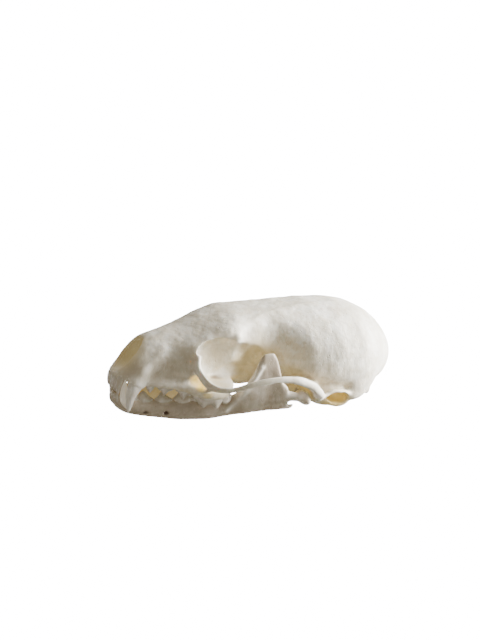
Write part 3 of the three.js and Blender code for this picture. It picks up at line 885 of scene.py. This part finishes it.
# ---------------------------------------------------------------- camera, light and floor

# the camera looks at this point from the left front, a little from above
VIEW_CENTRE = (-3.1, 0, 24.1)
VIEW_DISTANCE = 550
VIEW_TURN = math.radians(20)
VIEW_TILT = math.radians(18)
FILM_WIDTH = 36
FOCAL_PIXELS = 1985.5
PICTURE_HEIGHT_PIXELS = 640

# name, place, size, power in watts, tint; both lamps point at the middle of the skull
LAMPS = [
    ("key", (430, -100, 125), 260, 17.5, (1.0, 0.99, 0.97)),
    ("top", (60, 40, 420), 300, 0.5, (1.0, 0.98, 0.96)),
]
LAMP_AIM = (0, 0, 12)
ROOM_TINT = (1.0, 0.91, 0.73)
ROOM_STRENGTH = 0.36
FLOOR_SIZE = 4
FLOOR_GREY = (0.86, 0.86, 0.86)
FLOOR_GLOW = 16.0


def aim(thing, ahead):
    thing.rotation_mode = "QUATERNION"
    thing.rotation_quaternion = ahead.to_track_quat("-Z", "Y")


def make_camera():
    bpy.ops.object.camera_add()
    camera = bpy.context.active_object
    camera.name = "camera"
    level = math.cos(VIEW_TILT)
    ahead = Vector((math.sin(VIEW_TURN) * level, math.cos(VIEW_TURN) * level, -math.sin(VIEW_TILT)))
    camera.location = Vector(VIEW_CENTRE) * MM - ahead * (VIEW_DISTANCE * MM)
    aim(camera, ahead)
    camera.data.sensor_width = FILM_WIDTH
    camera.data.lens = FILM_WIDTH * FOCAL_PIXELS / PICTURE_HEIGHT_PIXELS
    camera.data.clip_start = 0.01
    camera.data.clip_end = 10
    bpy.context.scene.camera = camera


def make_lamp(name, place, size, power, tint):
    bpy.ops.object.light_add(type="AREA", location=Vector(place) * MM)
    light = bpy.context.active_object
    light.name = name
    light.data.size = size * MM
    light.data.energy = power
    light.data.color = tint
    aim(light, Vector(LAMP_AIM) * MM - light.location)


def make_room_light():
    world = bpy.data.worlds.new("studio")
    bpy.context.scene.world = world
    world.use_nodes = True
    background = world.node_tree.nodes["Background"]
    background.inputs["Color"].default_value = (*ROOM_TINT, 1)
    background.inputs["Strength"].default_value = ROOM_STRENGTH


def make_floor():
    """A pale floor that looks evenly white to the camera and casts no light upwards."""
    deselect()
    bpy.ops.mesh.primitive_plane_add(size=FLOOR_SIZE)
    floor = bpy.context.active_object
    floor.name = "floor"
    pale = bpy.data.materials.new("floor_paper")
    pale.use_nodes = True
    tree = pale.node_tree
    shader = tree.nodes["Principled BSDF"]
    shader.inputs["Base Color"].default_value = (*FLOOR_GREY, 1)
    shader.inputs["Roughness"].default_value = 0.9
    shader.inputs["Emission Strength"].default_value = FLOOR_GLOW
    seen = tree.nodes.new("ShaderNodeLightPath")
    tree.links.new(seen.outputs["Is Camera Ray"], shader.inputs["Emission Color"])
    floor.data.materials.append(pale)
    floor.visible_diffuse = False


def studio():
    make_camera()
    make_room_light()
    for lamp in LAMPS:
        make_lamp(*lamp)
    make_floor()


# ---------------------------------------------------------------- finishes

# colours of the bone, from the surface to the depths
IVORY = (0.89, 0.87, 0.795)
CLOUDY_IVORY = (0.68, 0.63, 0.515)
# tan is partly the bone's own colour and partly painted shade; ochre is painted shade in the
# hollows, lit by painted light through thin bone
IVORY_TAN = (0.50, 0.43, 0.33)
IVORY_OCHRE = (0.62, 0.50, 0.25)
# the lower jaw's colours are a darker copy of the cranium's: painted shade over the whole jaw
JAW_BEIGE = (0.64, 0.59, 0.51)
JAW_CLOUDY = (0.50, 0.44, 0.35)
JAW_BROWN = (0.36, 0.30, 0.23)
JAW_OCHRE = (0.52, 0.38, 0.18)
STREAK = (0.55, 0.48, 0.37)
PORE = (0.42, 0.34, 0.23)
# a painted highlight along the jaw's ridge and the top of its neck
PAINTED_RIDGE_HIGHLIGHT = (0.84, 0.80, 0.73)
LIT_BONE = (0.92, 0.63, 0.12)
# painted shade in the depths of the holes
PAINTED_HOLE_SHADE = (0.13, 0.07, 0.03)
# light that comes through thin bone, and through the thinnest
LIGHT_THROUGH = (0.22, 0.19, 0.09)
LIGHT_THROUGH_THIN = (0.38, 0.27, 0.04)
DARK = (0.0, 0.0, 0.0)

# colours of the teeth
WHITE_ENAMEL = (0.82, 0.80, 0.74)
CLOUDY_ENAMEL = (0.66, 0.61, 0.52)
# a darker copy of the enamel for the cheek teeth: painted shade
SHADED_ENAMEL = (0.62, 0.58, 0.50)
SHADED_CLOUDY_ENAMEL = (0.50, 0.45, 0.37)
# ochre of painted shade on the walls that face the mouth, lit by painted light
ENAMEL_MOUTH_SHADE = (0.54, 0.40, 0.19)
LIGHT_THROUGH_ENAMEL = (0.16, 0.13, 0.06)


def link(tree, source, target):
    tree.links.new(source, target)


def new_group(name, inputs, outputs):
    """An empty shader group with named number or colour sockets."""
    tree = bpy.data.node_groups.new(name, "ShaderNodeTree")
    for label, kind, value in inputs:
        socket = tree.interface.new_socket(name=label, in_out="INPUT", socket_type=kind)
        socket.default_value = value
    for label, kind in outputs:
        tree.interface.new_socket(name=label, in_out="OUTPUT", socket_type=kind)
    return tree, tree.nodes.new("NodeGroupInput"), tree.nodes.new("NodeGroupOutput")


def noise_node(tree, where, scale, detail, roughness=0.5):
    """Soft noise. Its scale is a number, or comes from a socket."""
    node = tree.nodes.new("ShaderNodeTexNoise")
    if isinstance(scale, float):
        node.inputs["Scale"].default_value = scale
    else:
        link(tree, scale, node.inputs["Scale"])
    node.inputs["Detail"].default_value = detail
    node.inputs["Roughness"].default_value = roughness
    link(tree, where, node.inputs["Vector"])
    return node.outputs["Fac"]


def math_node(tree, kind, first, second):
    node = tree.nodes.new("ShaderNodeMath")
    node.operation = kind
    for slot, value in zip(node.inputs, (first, second)):
        if isinstance(value, (int, float)):
            slot.default_value = value
        else:
            link(tree, value, slot)
    return node.outputs[0]


def range_node(tree, value, low, high):
    """A soft step from nought at the low value to one at the high value."""
    node = tree.nodes.new("ShaderNodeMapRange")
    node.interpolation_type = "SMOOTHSTEP"
    link(tree, value, node.inputs["Value"])
    node.inputs["From Min"].default_value = low
    node.inputs["From Max"].default_value = high
    return node.outputs["Result"]


def mix_node(tree, share, first, second):
    """Goes from the first colour to the second where the share is one."""
    node = tree.nodes.new("ShaderNodeMix")
    node.data_type = "RGBA"
    link(tree, share, node.inputs[0])
    for slot, colour in ((node.inputs[6], first), (node.inputs[7], second)):
        if isinstance(colour, tuple):
            slot.default_value = (*colour, 1)
        else:
            link(tree, colour, slot)
    return node.outputs[2]


def scaled(tree, mask, strength):
    return math_node(tree, "MULTIPLY", mask, strength)


def make_grain():
    """Dry bone: cloudy mottling, fine striae, open pores and wide patches, as masks and a height."""
    patch_scale = 70.0
    tree, given, sent = new_group(
        "bone_grain",
        [("Cloud Scale", "NodeSocketFloat", 240.0), ("Striae Scale", "NodeSocketFloat", 900.0),
         ("Pore Scale", "NodeSocketFloat", 1500.0)],
        [("Cloud", "NodeSocketFloat"), ("Striae", "NodeSocketFloat"), ("Pores", "NodeSocketFloat"),
         ("Patch", "NodeSocketFloat"), ("Height", "NodeSocketFloat")])
    place = tree.nodes.new("ShaderNodeTexCoord").outputs["Object"]
    stretch = tree.nodes.new("ShaderNodeMapping")
    stretch.inputs["Scale"].default_value = (1.0, 1.0, 0.22)
    stretch.inputs["Rotation"].default_value = (0.25, 0.35, 0.0)
    link(tree, place, stretch.inputs["Vector"])
    cloud = noise_node(tree, place, given.outputs["Cloud Scale"], 5.0, 0.6)
    striae = noise_node(tree, stretch.outputs["Vector"], given.outputs["Striae Scale"], 3.0)
    pore = noise_node(tree, place, given.outputs["Pore Scale"], 2.0)
    link(tree, range_node(tree, cloud, 0.41, 0.59), sent.inputs["Cloud"])
    link(tree, range_node(tree, striae, 0.35, 0.65), sent.inputs["Striae"])
    pits = range_node(tree, pore, 0.26, 0.38)
    patch = range_node(tree, noise_node(tree, place, patch_scale, 4.0, 0.6), 0.36, 0.64)
    link(tree, patch, sent.inputs["Patch"])
    open_pores = math_node(tree, "MULTIPLY", math_node(tree, "SUBTRACT", 1.0, pits), patch)
    link(tree, open_pores, sent.inputs["Pores"])
    height = math_node(tree, "ADD", scaled(tree, striae, 0.35), scaled(tree, cloud, 0.6))
    height = math_node(tree, "ADD", height, scaled(tree, pits, 0.25))
    link(tree, height, sent.inputs["Height"])
    return tree


def new_finish(name):
    """A new material, its nodes and its shader."""
    finish = bpy.data.materials.new(name)
    finish.use_nodes = True
    return finish, finish.node_tree, finish.node_tree.nodes["Principled BSDF"]


def mask_node(tree, name):
    node = tree.nodes.new("ShaderNodeAttribute")
    node.attribute_name = name
    return node.outputs["Fac"]


def add_grain(tree, shader, grain, strength):
    """Places the grain group, raises its height and gives its masks back."""
    node = tree.nodes.new("ShaderNodeGroup")
    node.node_tree = grain
    bump = tree.nodes.new("ShaderNodeBump")
    bump.inputs["Strength"].default_value = strength
    bump.inputs["Distance"].default_value = 0.0003
    link(tree, node.outputs["Height"], bump.inputs["Height"])
    link(tree, bump.outputs["Normal"], shader.inputs["Normal"])
    return node


def bone_finish(name, grain, pale, cloudy, tan, ochre, through):
    """Bone with painted shade where it is marked warm or shade, painted light coming through where
    it is marked warm or glowing, and a painted highlight where it is marked pale.
    """
    finish, tree, shader = new_finish(name)
    node = add_grain(tree, shader, grain, 0.8)
    colour = mix_node(tree, scaled(tree, node.outputs["Cloud"], 0.8), pale, cloudy)
    colour = mix_node(tree, scaled(tree, node.outputs["Patch"], 0.6), colour, cloudy)
    colour = mix_node(tree, scaled(tree, node.outputs["Striae"], 0.12), colour, STREAK)
    colour = mix_node(tree, scaled(tree, node.outputs["Pores"], 0.4), colour, PORE)
    # tan is partly the bone's own colour and partly painted shade, pale a painted highlight, warm
    # ochre painted shade, glow bone lit through, and shade painted shade in the holes
    for mask, tint in (("tan", tan), ("pale", PAINTED_RIDGE_HIGHLIGHT), ("warm", ochre), ("glow", LIT_BONE),
                       ("shade", PAINTED_HOLE_SHADE)):
        colour = mix_node(tree, mask_node(tree, mask), colour, tint)
    link(tree, colour, shader.inputs["Base Color"])
    shader.inputs["Roughness"].default_value = 0.52
    shader.inputs["Subsurface Weight"].default_value = 0.08
    shader.inputs["Subsurface Radius"].default_value = (1.0, 0.75, 0.5)
    shader.inputs["Subsurface Scale"].default_value = 0.0012
    # the marked places give off painted light, standing in for light through thin bone
    lit = mix_node(tree, mask_node(tree, "glow"), DARK, LIGHT_THROUGH_THIN)
    lit = mix_node(tree, scaled(tree, mask_node(tree, "warm"), through), lit, LIGHT_THROUGH)
    link(tree, lit, shader.inputs["Emission Color"])
    shader.inputs["Emission Strength"].default_value = 1.0
    return finish


def enamel_finish(name, grain, pale, cloudy, through=0.0):
    """Polished enamel, in ochre painted shade with painted light where it is marked warm. through is
    the painted light that comes through it where it isn't marked warm.
    """
    finish, tree, shader = new_finish(name)
    node = add_grain(tree, shader, grain, 0.06)
    colour = mix_node(tree, scaled(tree, node.outputs["Cloud"], 0.4), pale, cloudy)
    colour = mix_node(tree, mask_node(tree, "warm"), colour, ENAMEL_MOUTH_SHADE)
    link(tree, colour, shader.inputs["Base Color"])
    lit = mix_node(tree, mask_node(tree, "warm"), (through, 0.88 * through, 0.66 * through),
                   LIGHT_THROUGH_ENAMEL)
    link(tree, lit, shader.inputs["Emission Color"])
    shader.inputs["Emission Strength"].default_value = 1.0
    shader.inputs["Roughness"].default_value = 0.28
    shader.inputs["Coat Weight"].default_value = 0.3
    shader.inputs["Coat Roughness"].default_value = 0.15
    shader.inputs["Subsurface Weight"].default_value = 0.15
    shader.inputs["Subsurface Radius"].default_value = (1.0, 0.8, 0.6)
    shader.inputs["Subsurface Scale"].default_value = 0.0008
    return finish


# ---------------------------------------------------------------- putting it together

def in_metres(piece, finish):
    """Brings a finished piece to metres, gives it its material and hangs it under the root body."""
    piece.data.transform(Matrix.Scale(MM, 4))
    alone(piece)
    bpy.ops.object.shade_smooth()
    piece.data.materials.clear()
    piece.data.materials.append(finish)
    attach(piece, "root")


studio()
grain = make_grain()
bone = bone_finish("bone", grain, IVORY, CLOUDY_IVORY, IVORY_TAN, IVORY_OCHRE, through=0.4)
# the lower jaw's bone is a darker copy of the cranium's: painted shade
jaw_bone = bone_finish("jaw_bone", grain, JAW_BEIGE, JAW_CLOUDY, JAW_BROWN, JAW_OCHRE, through=0.75)
enamel = enamel_finish("enamel", grain, WHITE_ENAMEL, CLOUDY_ENAMEL)
# the lower canine glows a little all over: painted light
glowing_canine_enamel = enamel_finish("lower_canine_enamel", grain, WHITE_ENAMEL, CLOUDY_ENAMEL, through=0.18)
# the cheek teeth get a darker copy of the enamel: painted shade
cheek_enamel = enamel_finish("cheek_tooth_enamel", grain, SHADED_ENAMEL, SHADED_CLOUDY_ENAMEL)

cranium = make_cranium()
in_metres(cranium, bone)
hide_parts("braincase", "face", "cheek_arch_left", "cheek_arch_right",
            "ear_bulla_left", "ear_bulla_right")
for label, side in SIDES.items():
    jaw = make_jaw(label, side)
    in_metres(jaw, jaw_bone)
    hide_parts("lower_jaw_" + label)
    for name, make, node, finish in (
            ("upper_canine_crown_", upper_fang, "upper_canine_", enamel),
            ("lower_canine_crown_", lower_fang, "lower_canine_", glowing_canine_enamel)):
        tooth = make_teeth(name + label, make(side))
        in_metres(tooth, finish)
        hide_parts(node + label)
    for name, make in (("upper_teeth_", upper_teeth), ("lower_teeth_", lower_teeth)):
        in_metres(make_teeth(name + label, make(side)), cheek_enamel)
